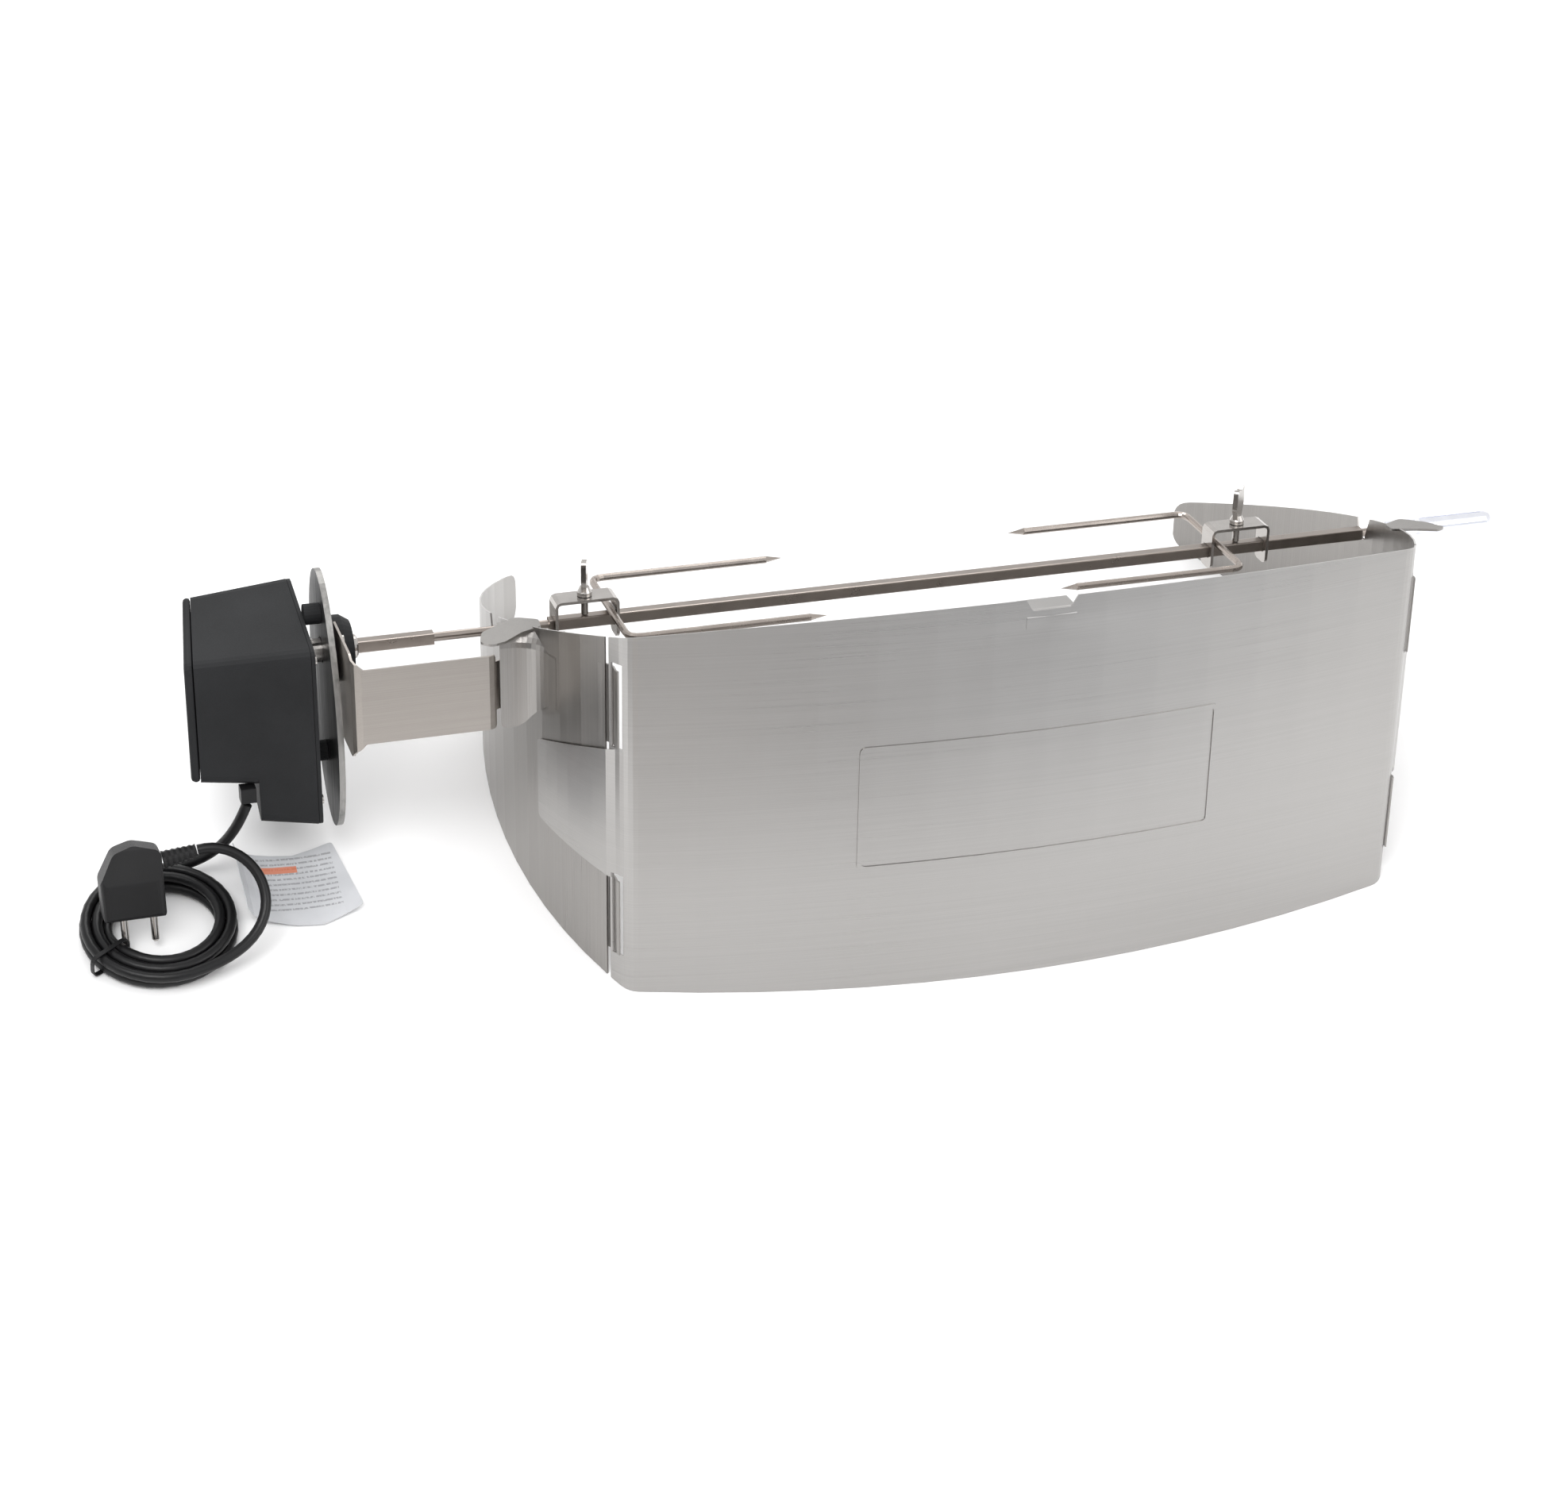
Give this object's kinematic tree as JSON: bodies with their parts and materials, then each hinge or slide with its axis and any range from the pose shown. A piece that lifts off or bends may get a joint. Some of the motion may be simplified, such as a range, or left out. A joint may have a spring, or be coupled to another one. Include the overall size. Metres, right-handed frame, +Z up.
{
  "type": "grill rotisserie kit",
  "caption": "Grill-top rotisserie kit: wedge-shaped steel surround, square spit with forks and thumbscrews, and a geared motor on a side bracket with its cord coiled beside it.",
  "frame": {"origin": "middle of the bounding box of everything but the cord and what is on it, on the floor the surround stands on", "axes": "+X along the spit away from the motor, +Y from the front panel to the open back, +Z up"},
  "size_m": [1.0283, 0.41, 0.2576],
  "materials": {
    "surround_steel": "brushed vertically",
    "bracket_steel": "brushed, warm tint",
    "shield_steel": "satin",
    "plated_steel": "bright plated",
    "handle_plating": "bright plated",
    "screw_plating": "plated",
    "black_plastic": "fine texture",
    "rubber_black": "satin",
    "cord_rubber": "satin",
    "nylon": "natural nylon",
    "brass": "machined",
    "copper": "enamelled copper winding",
    "paper": "blank paper"
  },
  "bodies": {
    "surround": {"front_panel": "surround_steel", "left_side_panel": "surround_steel", "right_side_panel": "surround_steel", "bracket_arm": "bracket_steel", "heat_shield": "shield_steel", "bearing_boss": "black_plastic", "upper_standoff": "black_plastic", "lower_standoff": "black_plastic", "upper_bracket_screw": "screw_plating", "lower_bracket_screw": "screw_plating", "motor_housing": "black_plastic", "housing_cover": "black_plastic", "motor_end_cover": "black_plastic", "cover_screw_1": "screw_plating", "cover_screw_2": "screw_plating", "cover_screw_3": "screw_plating", "cover_screw_4": "screw_plating", "stator_coil": "copper", "gear_plate": "plated_steel", "strain_relief_block": "rubber_black", "cord_run": "cord_rubber", "cord_coil": "cord_rubber", "plug_body": "rubber_black", "plug_pin_1": "plated_steel", "plug_pin_2": "plated_steel", "plug_relief": "rubber_black", "twist_tie": "rubber_black", "cord_tag": "paper"},
    "spit": {"spit_rod": "plated_steel", "spit_handle": "handle_plating", "drive_hub": "plated_steel", "output_gear": "nylon"},
    "intermediate": {"intermediate_gear": "nylon", "intermediate_pinion": "brass", "intermediate_shaft": "plated_steel"},
    "rotor": {"rotor": "plated_steel", "rotor_pinion": "brass"},
    "left_fork": {"left_fork_clamp": "plated_steel", "left_fork_prongs": "plated_steel"},
    "right_fork": {"right_fork_clamp": "plated_steel", "right_fork_prongs": "plated_steel"},
    "left_screw": {"left_thumbscrew": "plated_steel"},
    "right_screw": {"right_thumbscrew": "plated_steel"}
  },
  "joints": [
    {"name": "spit_turn", "type": "hinge", "parent": "surround", "child": "spit", "pos_m": [0.05388, 0.03993, 0.1338], "axis": [1, 0, 0], "continuous": true},
    {"name": "intermediate_turn", "type": "hinge", "parent": "surround", "child": "intermediate", "pos_m": [-0.41612, 0.03104, 0.10646], "axis": [1, 0, 0], "continuous": true},
    {"name": "rotor_turn", "type": "hinge", "parent": "surround", "child": "rotor", "pos_m": [-0.44612, 0.04147, 0.13856], "axis": [1, 0, 0], "continuous": true},
    {"name": "left_fork_slide", "type": "slide", "parent": "spit", "child": "left_fork", "axis": [1, 0, 0], "range_m": [-0.002, 0.08]},
    {"name": "right_fork_slide", "type": "slide", "parent": "spit", "child": "right_fork", "axis": [1, 0, 0], "range_m": [-0.08, 0.07]},
    {"name": "left_screw_turn", "type": "hinge", "parent": "left_fork", "child": "left_screw", "pos_m": [-0.20212, 0.04549, 0.15092], "axis": [0, 0.309, 0.9511], "range_deg": [0, 720]},
    {"name": "right_screw_turn", "type": "hinge", "parent": "right_fork", "child": "right_screw", "pos_m": [0.27188, 0.04549, 0.15092], "axis": [0, 0.309, 0.9511], "range_deg": [0, 720]}
  ],
  "couplings": [
    {"joint": "intermediate_turn", "follows": "spit_turn", "ratio": -3.6},
    {"joint": "rotor_turn", "follows": "spit_turn", "ratio": 15.84}
  ]
}
